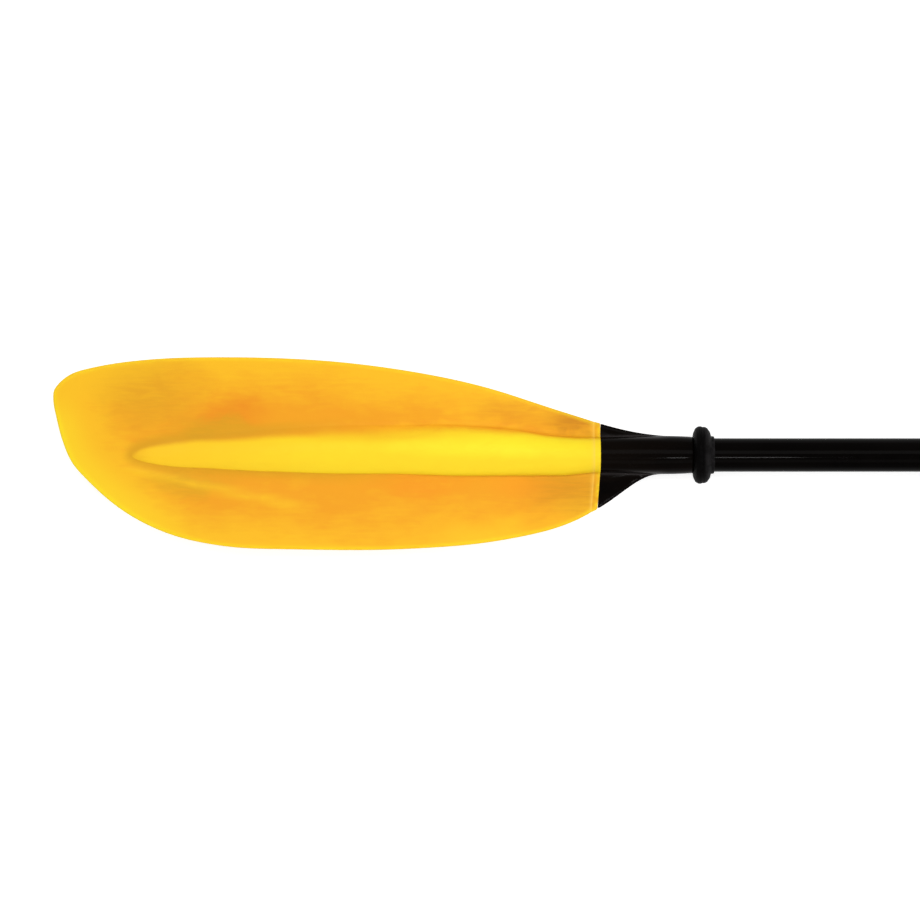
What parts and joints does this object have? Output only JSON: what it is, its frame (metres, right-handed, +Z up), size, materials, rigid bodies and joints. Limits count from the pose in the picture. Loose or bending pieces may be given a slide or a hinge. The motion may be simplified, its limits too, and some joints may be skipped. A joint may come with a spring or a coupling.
{
  "type": "kayak paddle",
  "caption": "Two-piece double-bladed kayak paddle: spooned, asymmetric ribbed plastic blades, round shaft with drip rings and a lever-clamped ferrule that sets feather angle and length.",
  "frame": {"origin": "on the ground under the middle of the paddle, below the shaft's axis", "axes": "+X along the shaft towards the right blade, +Z up out of the blades' power faces"},
  "size_m": [2.2, 0.1724, 0.0536],
  "materials": {
    "blade_yellow": "moulded fibre-filled plastic, amber yellow, softly glossy and slightly mottled",
    "throat_black": "moulded black plastic, glossy",
    "shaft_black": "glossy black fibreglass tube",
    "ring_rubber": "matt black moulded rubber",
    "spigot_grey": "dark grey ground fibreglass",
    "guide_white": "natural white bearing plastic",
    "plug_foam": "closed-cell foam",
    "clamp_black": "glass-filled black nylon, fine moulded grain",
    "lever_grey": "dark grey nylon, satin",
    "steel": "stainless steel, brushed"
  },
  "bodies": {
    "root": {"left_blade": "blade_yellow", "left_throat": "throat_black", "left_shaft": "shaft_black", "clamp_collar": "clamp_black", "clamp_bolt": "steel", "clamp_washer": "steel", "wear_plate": "steel", "barrel_nut": "steel", "left_float_plug": "plug_foam"},
    "lever": {"clamp_lever": "lever_grey"},
    "left_ring": {"left_drip_ring": "ring_rubber"},
    "guide_ring": {"spigot_guide_ring": "guide_white"},
    "right_half": {"right_blade": "blade_yellow", "right_throat": "throat_black", "right_shaft": "shaft_black", "ferrule_spigot": "spigot_grey", "spigot_tip_plug": "clamp_black"},
    "right_ring": {"right_drip_ring": "ring_rubber"}
  },
  "joints": [
    {"name": "lever_swing", "type": "hinge", "parent": "root", "child": "lever", "pos_m": [-0.019, 0.027, 0.0455], "axis": [-1, 0, 0], "range_deg": [0, 140]},
    {"name": "length_slide", "type": "slide", "parent": "root", "child": "guide_ring", "axis": [1, 0, 0], "range_m": [0, 0.1]},
    {"name": "feather_turn", "type": "hinge", "parent": "guide_ring", "child": "right_half", "pos_m": [0, 0, 0.0257], "axis": [1, 0, 0], "continuous": true},
    {"name": "left_ring_slide", "type": "slide", "parent": "root", "child": "left_ring", "axis": [1, 0, 0], "range_m": [0, 0.47]},
    {"name": "right_ring_slide", "type": "slide", "parent": "right_half", "child": "right_ring", "axis": [-1, 0, 0], "range_m": [0, 0.5]}
  ]
}
